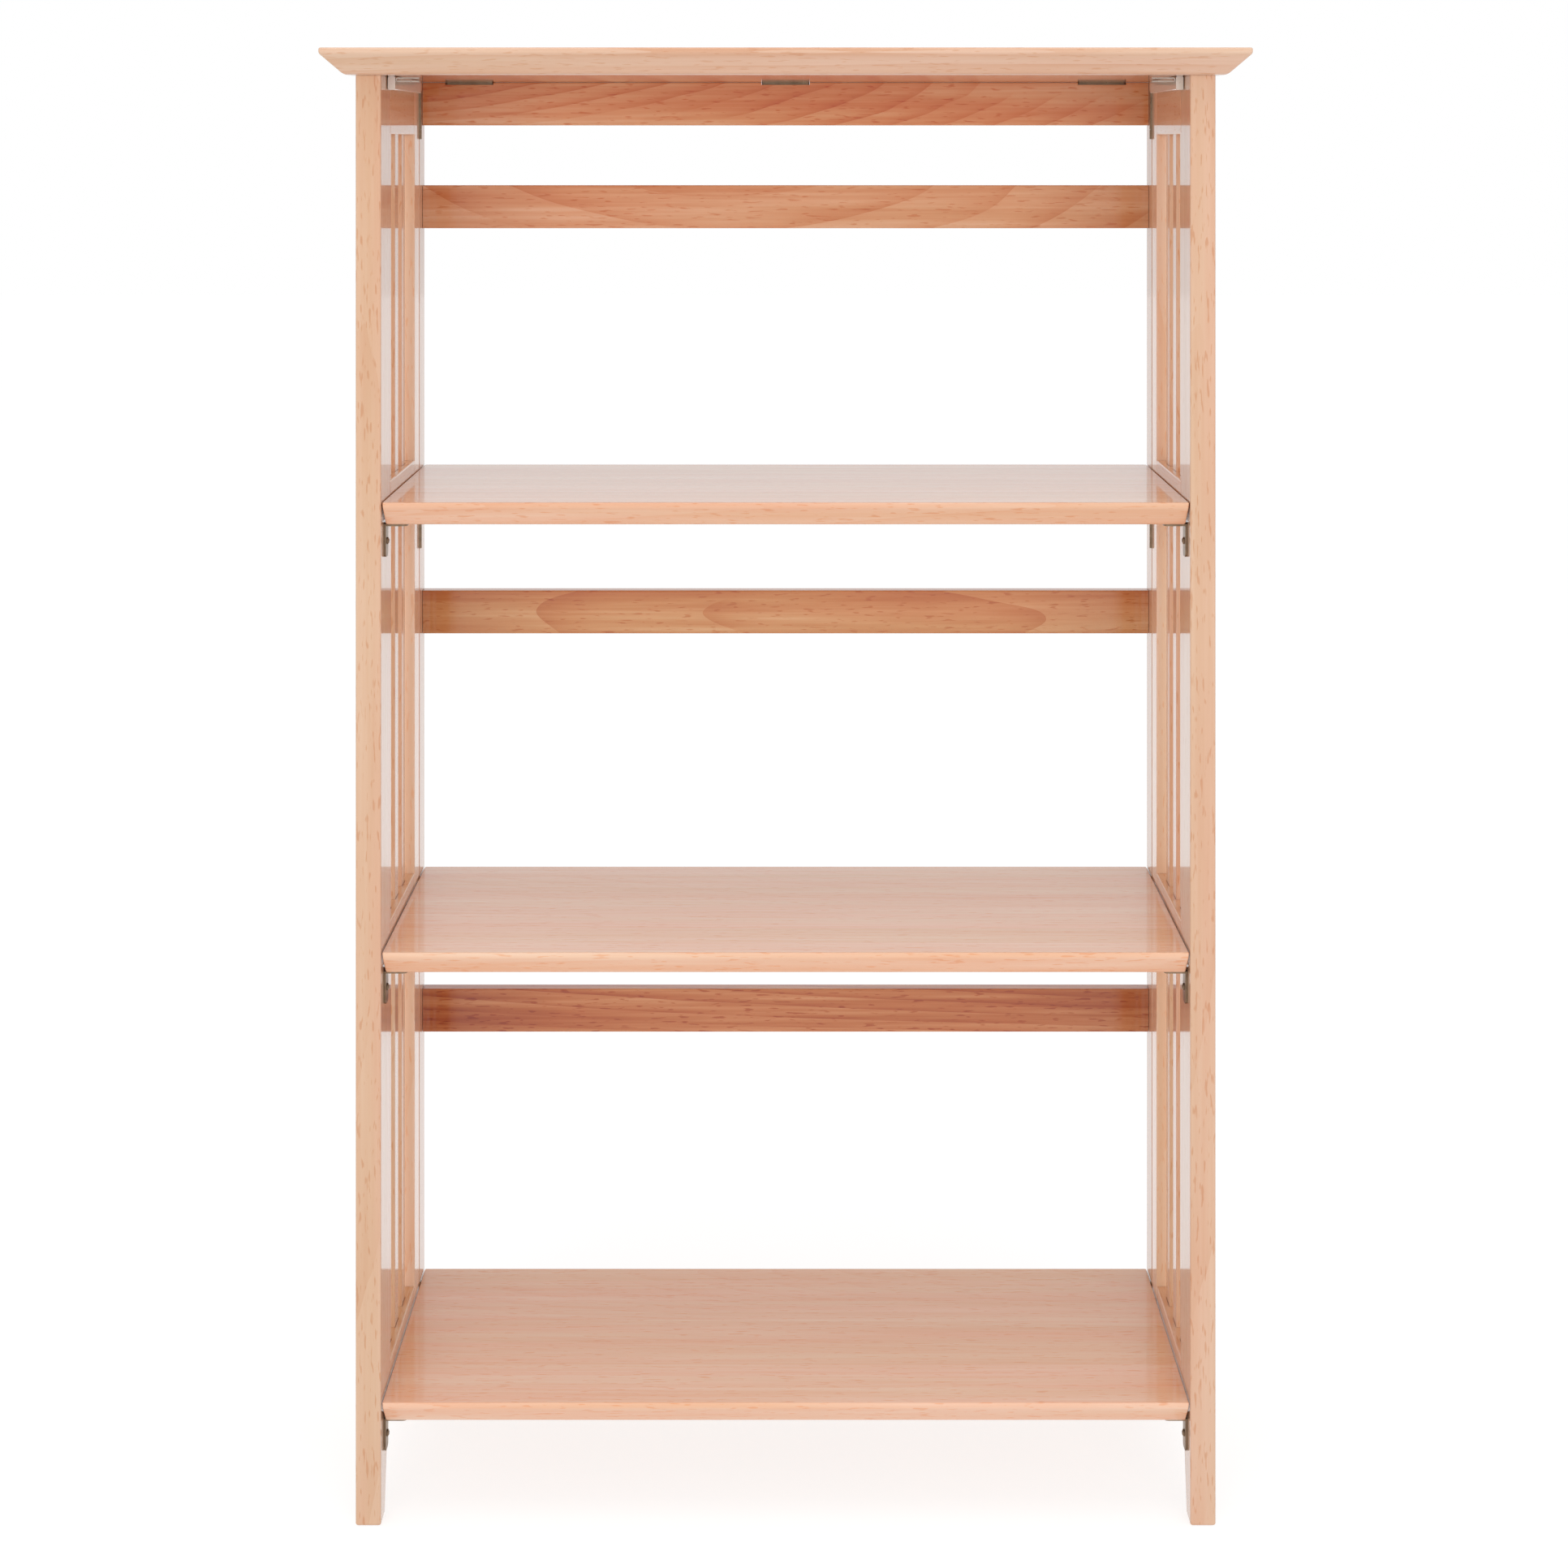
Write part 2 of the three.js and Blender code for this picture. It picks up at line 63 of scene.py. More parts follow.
stile_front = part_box("left_front_stile")[0].y
camera = bpy.data.objects.new("camera", bpy.data.cameras.new("camera"))
scene.collection.objects.link(camera)
camera.location = (0, stile_front - CAMERA_DISTANCE, EYE_HEIGHT)
camera.rotation_euler = (math.radians(90), 0, 0)
camera.data.sensor_width = SENSOR_WIDTH_MM
camera.data.lens = FOCAL_LENGTH_PX / PHOTO_SIDE_PX * SENSOR_WIDTH_MM
camera.data.shift_x = (PHOTO_SIDE_PX / 2 - VANISHING_POINT_PX[0]) / PHOTO_SIDE_PX
camera.data.shift_y = (VANISHING_POINT_PX[1] - PHOTO_SIDE_PX / 2) / PHOTO_SIDE_PX
scene.camera = camera
scene.view_settings.view_transform = "Standard"


# Studio
# A plain white floor runs out to a white surround. Two wide soft lamps stand far in front, one on either
# side at eye height, and a third hangs over the top board. Only the third shows in glossy surfaces.
AMBIENT = 0.62
MIRRORED = 0.86
FLOOR_SIDE = 40
FLOOR_WHITE = 0.84
FLOOR_GLOW = 1.4
FLOOR_SHADE_SHARE = 0.45
LIT_POINT = (0, 0, 0.8)
FRONT_LAMP_PLACE = (1.8, -5.4, 1.3)
FRONT_LAMP_SIZE = (2.4, 2.4)
LEFT_WATTS, RIGHT_WATTS = 58, 54
OVERHEAD_PLACE = (0, -0.9, 3.6)
OVERHEAD_SIZE = (2.4, 1.6)
OVERHEAD_WATTS = 20


def put(tree, kind, settings=None, **inputs):
    """Adds one shader node, with its properties from settings. An input is a value, or a (node, output) pair
    to link. Its key is its name with _ for each space, or in and its number."""
    new = tree.nodes.new("ShaderNode" + kind)
    for key, value in (settings or {}).items():
        setattr(new, key, value)
    for key, value in inputs.items():
        socket = new.inputs[int(key[2:])] if key.startswith("in") else new.inputs[key.replace("_", " ")]
        if isinstance(value, tuple) and isinstance(value[0], bpy.types.Node):
            tree.links.new(value[0].outputs[value[1]], socket)
        else:
            socket.default_value = value
    return new


def new_material(name):
    """A material with an empty node tree, and that tree."""
    material = bpy.data.materials.new(name)
    material.use_nodes = True
    material.node_tree.nodes.clear()
    return material, material.node_tree


def by_ray(tree, lighting, mirrored, shown):
    """Value = lighting, plus (shown - lighting) on camera rays, plus (mirrored - lighting) on the rays that a
    glossy or a clear surface sends out."""
    path = put(tree, "LightPath")
    glossy, clear = (path, "Is Glossy Ray"), (path, "Is Transmission Ray")
    bent = put(tree, "Math", {"operation": "MAXIMUM"}, in0=glossy, in1=clear)
    add_share = {"operation": "MULTIPLY_ADD"}
    start = put(tree, "Math", add_share, in0=(path, "Is Camera Ray"), in1=shown - lighting, in2=lighting)
    return put(tree, "Math", add_share, in0=(bent, 0), in1=mirrored - lighting, in2=(start, 0))


surround = bpy.data.worlds.new("white_surround")
scene.world = surround
surround.use_nodes = True
surround.node_tree.nodes.clear()
strength = by_ray(surround.node_tree, AMBIENT, MIRRORED, 1.0)
glow = put(surround.node_tree, "Background", Color=(1, 1, 1, 1), Strength=(strength, 0))
put(surround.node_tree, "OutputWorld", Surface=(glow, 0))

# The floor is plain white paint to the light, and to the eye a mix of glow and paint, which keeps the shadow.
half = FLOOR_SIDE / 2
corners = [(-half, -half, 0), (half, -half, 0), (half, half, 0), (-half, half, 0)]
floor_mesh = bpy.data.meshes.new("floor")
floor_mesh.from_pydata(corners, [], [(0, 1, 2, 3)])
floor = bpy.data.objects.new("floor", floor_mesh)
scene.collection.objects.link(floor)
white_floor, tree = new_material("white_floor")
paint = put(tree, "BsdfDiffuse", Color=(FLOOR_WHITE, FLOOR_WHITE, FLOOR_WHITE, 1))
glow = put(tree, "Emission", Strength=FLOOR_GLOW)
seen = put(tree, "MixShader", Fac=FLOOR_SHADE_SHARE, in1=(glow, 0), in2=(paint, 0))
is_seen = by_ray(tree, 0.0, 1.0, 1.0)
floor_mix = put(tree, "MixShader", Fac=(is_seen, 0), in1=(paint, 0), in2=(seen, 0))
put(tree, "OutputMaterial", Surface=(floor_mix, 0))
floor_mesh.materials.append(white_floor)


def soft_lamp(name, place, size, watts, mirrored=False):
    """A rectangular lamp that faces the middle of the bookcase, and shows in a glossy surface if mirrored."""
    lamp = bpy.data.objects.new(name, bpy.data.lights.new(name, "AREA"))
    lamp.data.shape = "RECTANGLE"
    lamp.data.size, lamp.data.size_y = size
    lamp.data.energy = watts
    lamp.location = place
    lamp.rotation_euler = (Vector(LIT_POINT) - Vector(place)).to_track_quat("-Z", "Y").to_euler()
    lamp.visible_glossy = mirrored
    scene.collection.objects.link(lamp)


across, away, up = FRONT_LAMP_PLACE
soft_lamp("left_softbox", (-across, away, up), FRONT_LAMP_SIZE, LEFT_WATTS)
soft_lamp("right_softbox", (across, away, up), FRONT_LAMP_SIZE, RIGHT_WATTS)
soft_lamp("overhead_softbox", OVERHEAD_PLACE, OVERHEAD_SIZE, OVERHEAD_WATTS, mirrored=True)


# Wood
# Sawn rubberwood: pale tan boards with growth rings, straight fibres, and pores that show as short dark
# dashes, under a clear glossy lacquer. Noise scales are per metre along the fibres and across them.
FIBRE_SCALE = (6.0, 260.0, 260.0)
STREAK_SCALE = (1.8, 42.0, 42.0)
PORE_SCALE = (62.0, 430.0, 430.0)
PATCH_SCALE = (4.0, 22.0, 22.0)
HUE_SCALE = (1.3, 30.0, 30.0)
STREAK_SHARE, FIBRE_SHARE, STAVE_SHARE = 2.0, 0.9, 0.55
STAVE_HUE_SHARE = 0.5
STAVE_JUMP = (3.0, 7.0, 5.0)
HEART_ROAM = (1.2, 0.06, 0.03)
WIDEST_STAVE = 1.0
RING_WAVE = {"Distortion": 4.5, "Detail": 2.5, "Detail_Scale": 0.42, "Detail_Roughness": 0.55}
RING_SHARPNESS = 3.0
RING_MEAN = 0.14
PATCH_EDGES = (-0.16, 0.10)
PORE_EDGES = (0.12, 0.2)
HUE_EDGES = (-0.18, 0.18)
PINKER, STRAWER = (1.025, 0.975, 0.985, 1), (0.985, 1.02, 0.985, 1)
LEAST_DEPTH = 0.3
WOOD_ROUGHNESS, ROUGHNESS_SPREAD = 0.42, 0.2


def grain_group():
    """Shader group: colour, roughness and relief of wood whose fibres run along X, in metres. The colour is
    Tone to the power depth, times a lean to pink or to straw. depth = 1 + Contrast times the streaks, the
    fibres and the stave's own share, + Figure times the rings less their mean, + Pores times the dashes."""
    group = bpy.data.node_groups.new("rubberwood_grain", "ShaderNodeTree")
    sockets = {"Place": "Vector", "Tone": "Color", "Heart": "Vector"}
    numbers = ("Contrast", "Figure", "Stretch", "Ring Gap", "Stave", "Pores", "Seed")
    sockets.update(dict.fromkeys(numbers, "Float"))
    for name, kind in sockets.items():
        group.interface.new_socket(name, in_out="INPUT", socket_type="NodeSocket" + kind)
    for name, kind in (("Color", "Color"), ("Roughness", "Float"), ("Height", "Float")):
        group.interface.new_socket(name, in_out="OUTPUT", socket_type="NodeSocket" + kind)
    given = group.nodes.new("NodeGroupInput")

    def calc(operation, first, second=0.0, third=0.0):
        return put(group, "Math", {"operation": operation}, in0=first, in1=second, in2=third), 0

    def vector(operation, first, second=(0, 0, 0)):
        return put(group, "VectorMath", {"operation": operation}, in0=first, in1=second), 0

    def noise(scale, detail, rough=0.5):
        """Noise from about -0.5 to 0.5, in the stave's own place."""
        spot = vector("MULTIPLY", own_place, scale)
        made = put(group, "TexNoise", Vector=spot, Scale=1.0, Detail=detail, Roughness=rough)
        return calc("SUBTRACT", (made, 0), 0.5)

    def ramp(value, edges):
        return put(group, "MapRange", in0=value, in1=edges[0], in2=edges[1], in3=0.0, in4=1.0), 0

    # Each stave draws its pattern from another place, and so does each seed.
    place = put(group, "SeparateXYZ", Vector=(given, "Place"))
    stave = calc("FLOOR", calc("ADD", calc("DIVIDE", (place, "Y"), (given, "Stave")), 0.5))
    key = put(group, "CombineXYZ", X=stave, Z=(given, "Seed"))
    luck = put(group, "TexWhiteNoise", {"noise_dimensions": "3D"}, Vector=(key, 0))
    own_place = vector("ADD", (given, "Place"), vector("MULTIPLY", (luck, "Color"), STAVE_JUMP))

    # Growth rings are shells round the heart of the tree, drawn out along the fibres. In a board of narrow
    # staves the heart moves from stave to stave.
    glued_up = calc("LESS_THAN", (given, "Stave"), WIDEST_STAVE)
    jump = vector("MULTIPLY", (luck, "Color"), HEART_ROAM)
    shift = put(group, "VectorMath", {"operation": "SCALE"}, in0=jump, Scale=glued_up)
    from_heart = vector("SUBTRACT", vector("SUBTRACT", (given, "Place"), (given, "Heart")), (shift, 0))
    drawn_out = put(group, "CombineXYZ", X=(given, "Stretch"), Y=1.0, Z=1.0)
    rings = put(
        group,
        "TexWave",
        {"wave_type": "RINGS", "rings_direction": "SPHERICAL", "wave_profile": "SAW"},
        Vector=vector("MULTIPLY", from_heart, (drawn_out, 0)),
        Scale=calc("DIVIDE", math.pi / 10, (given, "Ring Gap")),
        **RING_WAVE,
    )
    patches = noise(PATCH_SCALE, 2.0)
    faded = calc("MULTIPLY", calc("POWER", (rings, "Fac"), RING_SHARPNESS), ramp(patches, PATCH_EDGES))
    figure = calc("MULTIPLY", calc("SUBTRACT", faded, RING_MEAN), (given, "Figure"))

    fibres = noise(FIBRE_SCALE, 3.0, 0.6)
    streaks = noise(STREAK_SCALE, 3.0, 0.55)
    dashes = ramp(noise(PORE_SCALE, 1.0), PORE_EDGES)
    pores = calc("MULTIPLY", dashes, (given, "Pores"))
    grain = calc("MULTIPLY_ADD", streaks, STREAK_SHARE, calc("MULTIPLY", fibres, FIBRE_SHARE))
    own = calc("MULTIPLY", calc("SUBTRACT", (luck, "Value"), 0.5), STAVE_SHARE)
    grain = calc("MULTIPLY", calc("ADD", grain, own), (given, "Contrast"))
    depth = calc("ADD", calc("ADD", grain, figure), calc("ADD", pores, 1.0))
    tone = put(group, "Gamma", Color=(given, "Tone"), Gamma=calc("MAXIMUM", depth, LEAST_DEPTH))

    # The wood leans to pink in some streaks and to straw in others.
    lean = ramp(calc("ADD", noise(HUE_SCALE, 2.0), calc("MULTIPLY", own, STAVE_HUE_SHARE)), HUE_EDGES)
    hue = put(group, "Mix", {"data_type": "RGBA"}, Factor=lean, in6=PINKER, in7=STRAWER)
    color = vector("MULTIPLY", (tone, 0), (hue, 2))

    rough = calc("MULTIPLY_ADD", fibres, ROUGHNESS_SPREAD, WOOD_ROUGHNESS)
    height = calc("SUBTRACT", fibres, dashes)
    result = group.nodes.new("NodeGroupOutput")
    for name, (source, output) in (("Color", color), ("Roughness", rough), ("Height", height)):
        group.links.new(source.outputs[output], result.inputs[name])
    return group


rubberwood_grain = grain_group()
ONE_PIECE = 20.0
GRAIN_TURN = {"x": Euler((0, 0, 0)), "y": Euler((0, 0, -math.pi / 2)), "z": Euler((0, math.pi / 2, 0))}
LACQUER_COAT = 1.0
LACQUER_ROUGHNESS = 0.07
WOOD_SPECULAR = 0.35
PORE_DEPTH = 0.06 * MM
PORE_STRENGTH = 0.6
PLAIN_WOOD = {
    "Contrast": 0.32,
    "Figure": 0.25,
    "Heart": (0.1, 0.11, 0.03),
    "Stretch": 0.12,
    "Ring_Gap": 9 * MM,
    "Stave": ONE_PIECE,
    "Pores": 0.4,
}


def middle_of(node):
    low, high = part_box(node)
    return (low + high) / 2


def lacquered_wood(node, grain, tone, seed, **chosen):
    """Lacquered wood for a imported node: its fibres run along the axis named by grain, and the pattern is
    centred on the piece. Chosen values stand in for those of plain wood."""
    material, tree = new_material(node)
    turn = GRAIN_TURN[grain]
    spot = put(tree, "TexCoord")
    mapped = put(tree, "Mapping", {"vector_type": "POINT"}, Vector=(spot, "Object"))
    mapped.inputs["Rotation"].default_value = turn
    mapped.inputs["Location"].default_value = -(turn.to_matrix() @ middle_of(node))
    look = {"Tone": (*tone, 1), "Seed": seed, **PLAIN_WOOD, **chosen}
    wood = put(tree, "Group", {"node_tree": rubberwood_grain}, Place=(mapped, 0), **look)
    bump = put(tree, "Bump", Height=(wood, "Height"), Distance=PORE_DEPTH, Strength=PORE_STRENGTH)
    surface = put(
        tree,
        "BsdfPrincipled",
        Base_Color=(wood, "Color"),
        Roughness=(wood, "Roughness"),
        Normal=(bump, 0),
        Specular_IOR_Level=WOOD_SPECULAR,
        Coat_Weight=LACQUER_COAT,
        Coat_Roughness=LACQUER_ROUGHNESS,
    )
    put(tree, "OutputMaterial", Surface=(surface, 0))
    return material


def finish_packed(node, material):
    """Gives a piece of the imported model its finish."""
    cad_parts[node].material_slots[0].material = material


# Back frame
# Two square posts joined by four rails with stub tenons. The rails are the warmest and most figured boards
# of the bookcase, and stand in the shade of the shelves.
POST_TONE, POST_SEED = (0.72, 0.43, 0.27), 3.1
RAIL_CONTRAST, RAIL_FIGURE, RAIL_SEED = 0.75, 0.42, 11.7

for number, side in enumerate(SIDES):
    node = f"{side}_back_post"
    finish_packed(node, lacquered_wood(node, "z", POST_TONE, POST_SEED + number))

# For each rail: its tone, the heart of the tree from its middle, the stretch of the rings, and their gap.
BACK_RAILS = {
    "lower": ((0.47, 0.145, 0.042), (0.9, 0.05, 0.10), 0.07, 8 * MM),
    "middle": ((0.62, 0.275, 0.104), (0.1, 0.05, -0.006), 0.17, 17 * MM),
    "upper": ((0.71, 0.355, 0.18), (-0.067, 0.04, 0.05), 0.3, 22 * MM),
    "top": ((0.66, 0.23, 0.08), (-0.55, 0.05, 0.09), 0.22, 10 * MM),
}
for number, (name, (tone, heart, stretch, gap)) in enumerate(BACK_RAILS.items()):
    node = f"{name}_back_rail"
    look = {"Contrast": RAIL_CONTRAST, "Figure": RAIL_FIGURE, "Heart": heart, "Stretch": stretch}
    finish_packed(node, lacquered_wood(node, "x", tone, RAIL_SEED + number, Ring_Gap=gap, **look))


# Side frames
# Each has a wide front stile that narrows in a cove to a slim foot, a rear stile, four cross rails tenoned
# between them, and three long slats let into the rails. All are planed straight with softened edges.
FLAT = 0.3 * MM
SHARP_ANGLE = math.radians(40)


def quarter(count=6):
    """Angles of a quarter turn."""
    return np.linspace(0, math.pi / 2, count)


def closed_skin(name, rings, material):
    """Object from closed rings[k, i] of points: quads join each ring to the next, and a flat face closes the
    first ring and the last."""
    count, sides = rings.shape[:2]
    first = np.arange((count - 1) * sides).reshape(count - 1, sides)
    after = np.roll(first, -1, axis=1)
    quads = np.stack([first, after, after + sides, first + sides], axis=-1).reshape(-1, 4)
    ends = [list(range(sides))[::-1], list(range((count - 1) * sides, count * sides))]
    mesh = bpy.data.meshes.new(name)
    mesh.from_pydata(rings.reshape(-1, 3).tolist(), [], quads.tolist() + ends)
    work = bmesh.new()
    work.from_mesh(mesh)
    bmesh.ops.recalc_face_normals(work, faces=work.faces)
    work.to_mesh(mesh)
    work.free()
    mesh.shade_smooth()
    mesh.set_sharp_from_angle(angle=SHARP_ANGLE)
    mesh.materials.append(material)
    made = bpy.data.objects.new(name, mesh)
    scene.collection.objects.link(made)
    return made


def stacked_board(name, level, low, high, corner, material):
    """Board as a stack of level rounded rectangles: ring k lies at height level[k] and spans low[k] to
    high[k]. A corner is a quarter circle, its centre plus corner times (cos a, sin a), with a flat point on
    either side."""
    turns = np.arange(4) * math.pi / 2
    angle = turns[:, None] + quarter()[None, :]
    circle = np.stack([np.cos(angle), np.sin(angle)], axis=-1) * corner
    ahead = np.stack([-np.sin(turns), np.cos(turns)], axis=-1) * FLAT
    onward = np.roll(ahead, -1, axis=0)
    before_bend = (circle[:, 0] - ahead)[:, None]
    after_bend = (circle[:, -1] + onward)[:, None]
    bends = np.concatenate([before_bend, circle, after_bend], axis=1)
    east = np.array([1, 0, 0, 1])[None, :]
    north = np.array([1, 1, 0, 0])[None, :]
    centre_x = np.where(east, high[:, :1] - corner, low[:, :1] + corner)
    centre_y = np.where(north, high[:, 1:] - corner, low[:, 1:] + corner)
    centres = np.stack([centre_x, centre_y], axis=-1)
    plan = (centres[:, :, None, :] + bends[None]).reshape(len(level), -1, 2)
    heights = np.broadcast_to(np.asarray(level)[:, None, None], plan.shape[:2] + (1,))
    return closed_skin(name, np.concatenate([plan, heights], axis=-1), material)


STILE_TONE, STILE_SEED, STILE_SEED_STEP = (0.745, 0.465, 0.31), 21.3, 4
STILE_FIGURE = {"Heart": (0.1, 0.055, 0.012), "Contrast": 0.28, "Figure": 0.16, "Stretch": 0.085}
# Painted light: the rear stiles' tone is raised well above the front stiles' to stand for light reaching the
# back of the bays.
REAR_STILE_LIT_TONE, REAR_STILE_SEED = (0.93, 0.64, 0.44), 31.9
# Painted reflection: the side rails' tone is deepened, most in blue, for the dark cleat mirrored at a grazing
# view.
SIDE_RAIL_TONE_AND_REFLECTION, SIDE_RAIL_SEED = (0.80, 0.47, 0.275), 41.2
SLAT_TONE, SLAT_SEED = (0.78, 0.48, 0.31), 61.4
SIDE_SEED_STEP = 10
SIDE_RAILS = (*LEVELS, "top")
SLATS = (1, 2, 3)
EDGE = 1.5 * MM
TOE_EASE = 3 * MM
FOOT_TOE = 24 * MM
FOOT_TOP = 45 * MM
FOOT_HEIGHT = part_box("left_lower_side_rail")[0].z
COVE_SHARE = 0.9
COVE_POINTS = 18


def stile_back_line():
    """Height and depth of the stile's back from the toe up, and how far the toe's ease pulls the front in.
    The foot widens evenly, then a quadratic curve (1-t)^2 start + 2t(1-t) corner + t^2 end turns it into the
    level underside behind the foot."""
    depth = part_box("left_front_stile")[1].y - stile_front
    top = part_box("left_front_stile")[1].z
    reach = (depth - FOOT_TOP) * COVE_SHARE
    foot = np.array([FOOT_TOP - FOOT_TOE, FOOT_HEIGHT])
    corner = np.array([FOOT_TOP, FOOT_HEIGHT])
    start = corner - foot / np.linalg.norm(foot) * reach
    end = corner + np.array([reach, 0])
    t = np.linspace(0, 1, COVE_POINTS)[:, None]
    cove = (1 - t) ** 2 * start + 2 * t * (1 - t) * corner + t**2 * end
    pull = np.append(TOE_EASE * (1 - np.sin(quarter())), 0)
    low = np.append(TOE_EASE * (1 - np.cos(quarter())), TOE_EASE + FLAT)
    taper = FOOT_TOE + low / FOOT_HEIGHT * (FOOT_TOP - FOOT_TOE) - pull
    chamfer = np.array([[depth - EDGE, FOOT_HEIGHT], [depth, FOOT_HEIGHT + EDGE]])
    back = np.array([[depth, top - EDGE], [depth, top]])
    line = np.concatenate([np.stack([taper, low], axis=-1), cove, chamfer, back])
    front_pull = np.concatenate([pull, np.zeros(len(line) - len(pull))])
    return line[:, 1], line[:, 0], front_pull


for number, side in enumerate(SIDES):
    node = f"{side}_front_stile"
    low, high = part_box(node)
    height, back, pulled = stile_back_line()
    lows = np.stack([low.x + pulled, stile_front + pulled], axis=-1)
    highs = np.stack([high.x - pulled, stile_front + back], axis=-1)
    wood = lacquered_wood(node, "z", STILE_TONE, STILE_SEED + STILE_SEED_STEP * number, **STILE_FIGURE)
    stile = stacked_board(f"{side}_front_stile_wood", height, lows, highs, EDGE, wood)
    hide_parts(node)
    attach(stile, "frame")

    node = f"{side}_rear_stile"
    finish_packed(node, lacquered_wood(node, "z", REAR_STILE_LIT_TONE, REAR_STILE_SEED + number))
    for place, name in enumerate(SIDE_RAILS):
        node = f"{side}_{name}_side_rail"
        seed = SIDE_RAIL_SEED + place + SIDE_SEED_STEP * number
        finish_packed(node, lacquered_wood(node, "y", SIDE_RAIL_TONE_AND_REFLECTION, seed))
    for place in SLATS:
        node = f"{side}_slat_{place}"
        seed = SLAT_SEED + place + SIDE_SEED_STEP * number
        finish_packed(node, lacquered_wood(node, "z", SLAT_TONE, seed))


# Hinges, pins and brackets
# Pressed steel with a bronze-toned plating on rolled round pins. Its colour is kept dark with painted shade,
# for the shaded wood that it mirrors. Fine brushing runs along each leaf, and the plating is a little uneven.
# Flat-headed screws lie flush in the leaves of the lift hinges.
# Painted shade: both ends of the plating's tone are kept dark, as if the metal mirrored shaded wood.
SHADED_PLATING_DARK, SHADED_PLATING_LIGHT = (0.15, 0.10, 0.065), (0.38, 0.27, 0.18)
BRUSH_SCALE = (120.0, 2600.0, 160.0)
BRUSH_DEPTH = 0.02 * MM
BRUSH_STRENGTH = 0.4
BRUSH_EDGES = (0.3, 0.7)
STEEL_ROUGHNESS = (0.26, 0.44)
CLOUD_SCALE = 140.0


def plated_steel(name, dark, light):
    """Plated steel: fine streaks along X and Z carry its roughness and relief, and clouds its tone."""
    material, tree = new_material(name)
    spot = put(tree, "TexCoord")
    drawn = put(tree, "VectorMath", {"operation": "MULTIPLY"}, in0=(spot, "Object"), in1=BRUSH_SCALE)
    streaks = put(tree, "TexNoise", Vector=(drawn, 0), Scale=1.0, Detail=3.0)
    cloud = put(tree, "TexNoise", Vector=(spot, "Object"), Scale=CLOUD_SCALE, Detail=3.0)
    rough = put(tree, "MapRange", in0=(streaks, 0))
    for number, value in enumerate((*BRUSH_EDGES, *STEEL_ROUGHNESS)):
        rough.inputs[number + 1].default_value = value
    tone = put(tree, "Mix", {"data_type": "RGBA"}, Factor=(cloud, 0), in6=(*dark, 1), in7=(*light, 1))
    bump = put(tree, "Bump", Height=(streaks, 0), Distance=BRUSH_DEPTH, Strength=BRUSH_STRENGTH)
    look = {"Base_Color": (tone, 2), "Roughness": (rough, 0), "Normal": (bump, 0)}
    surface = put(tree, "BsdfPrincipled", Metallic=1.0, **look)
    put(tree, "OutputMaterial", Surface=(surface, 0))
    return material


plating = plated_steel("bronze_plating_painted_shade", SHADED_PLATING_DARK, SHADED_PLATING_LIGHT)
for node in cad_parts:
    if "_hinge_" in node or node.endswith(("_pin", "_bracket")):
        finish_packed(node, plating)

SCREW_RINGS, SCREW_SIDES = 18, 48
SCREW_EYE_SHARE = 0.02
RECESS_WIDTH_SHARE = 0.06
RECESS_REACH_SHARE, RECESS_FADE_SHARE = 0.62, 0.1
RECESS_DEPTH_SHARE = 0.45


def screw_head(name, seat, toward, radius, rise, crown, body):
    """Round screw head on polar rings: height = rise - crown (r / radius)^2, less the depth of a cross recess
    whose two arms fade out at their sides and ends, and a straight rim down to the seat."""
    share = np.append(np.linspace(SCREW_EYE_SHARE, 1, SCREW_RINGS), 1)[:, None]
    angle = np.linspace(0, 2 * math.pi, SCREW_SIDES, endpoint=False)[None, :]
    across, along = share * np.cos(angle), share * np.sin(angle)
    arms = []
    for aside, out in ((across, along), (along, across)):
        middle = np.clip(3 - abs(aside) / RECESS_WIDTH_SHARE, 0, 1)
        arms.append(middle * np.clip((RECESS_REACH_SHARE - abs(out)) / RECESS_FADE_SHARE, 0, 1))
    height = rise - crown * share**2 - RECESS_DEPTH_SHARE * rise * np.maximum(*arms)
    height[-1] = 0
    axis = Vector(toward)
    side_way = axis.orthogonal().normalized()
    base = np.array([side_way, axis.cross(side_way), axis])
    local = np.stack([radius * across, radius * along, height], axis=-1)
    head = closed_skin(name, np.array(seat) + local @ base, plating)
    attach(head, body)


# Screws of the lift hinges: their flat heads stand a hair proud of the leaves.
HINGE_SCREW_RADIUS = 1.8 * MM
HINGE_SCREW_RISE = 0.76 * MM
HINGE_SCREW_SEAT = 0.95 * MM
HINGE_SCREW_FROM_EDGE = 7.4 * MM
HINGE_SCREW_FROM_END = 9 * MM

for place in ("left", "middle", "right"):
    for part, up, body in (("rail", 1, "frame"), ("top", -1, "top")):
        low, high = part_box(f"{place}_lift_hinge_{part}_leaf")
        line = low.y + HINGE_SCREW_FROM_EDGE
        seat = (low.z + high.z) / 2 - up * HINGE_SCREW_SEAT
        for number, x in enumerate((low.x + HINGE_SCREW_FROM_END, high.x - HINGE_SCREW_FROM_END)):
            name = f"{place}_lift_hinge_{part}_screw_{number + 1}"
            screw_head(name, (x, line, seat), (0, 0, up), HINGE_SCREW_RADIUS, HINGE_SCREW_RISE, 0, body)

# Bracket screws: a pan head on the upright flange, and a low head under the flat flange.
BRACKET_PLATE = 1.8 * MM
PAN_RADIUS, PAN_RISE, PAN_CROWN = 3.3 * MM, 2.2 * MM, 1.2 * MM
LOW_RADIUS, LOW_RISE, LOW_CROWN = 3.0 * MM, 1.2 * MM, 0.6 * MM
SCREW_DROP = 16.5 * MM
SCREW_REACH = 13.4 * MM

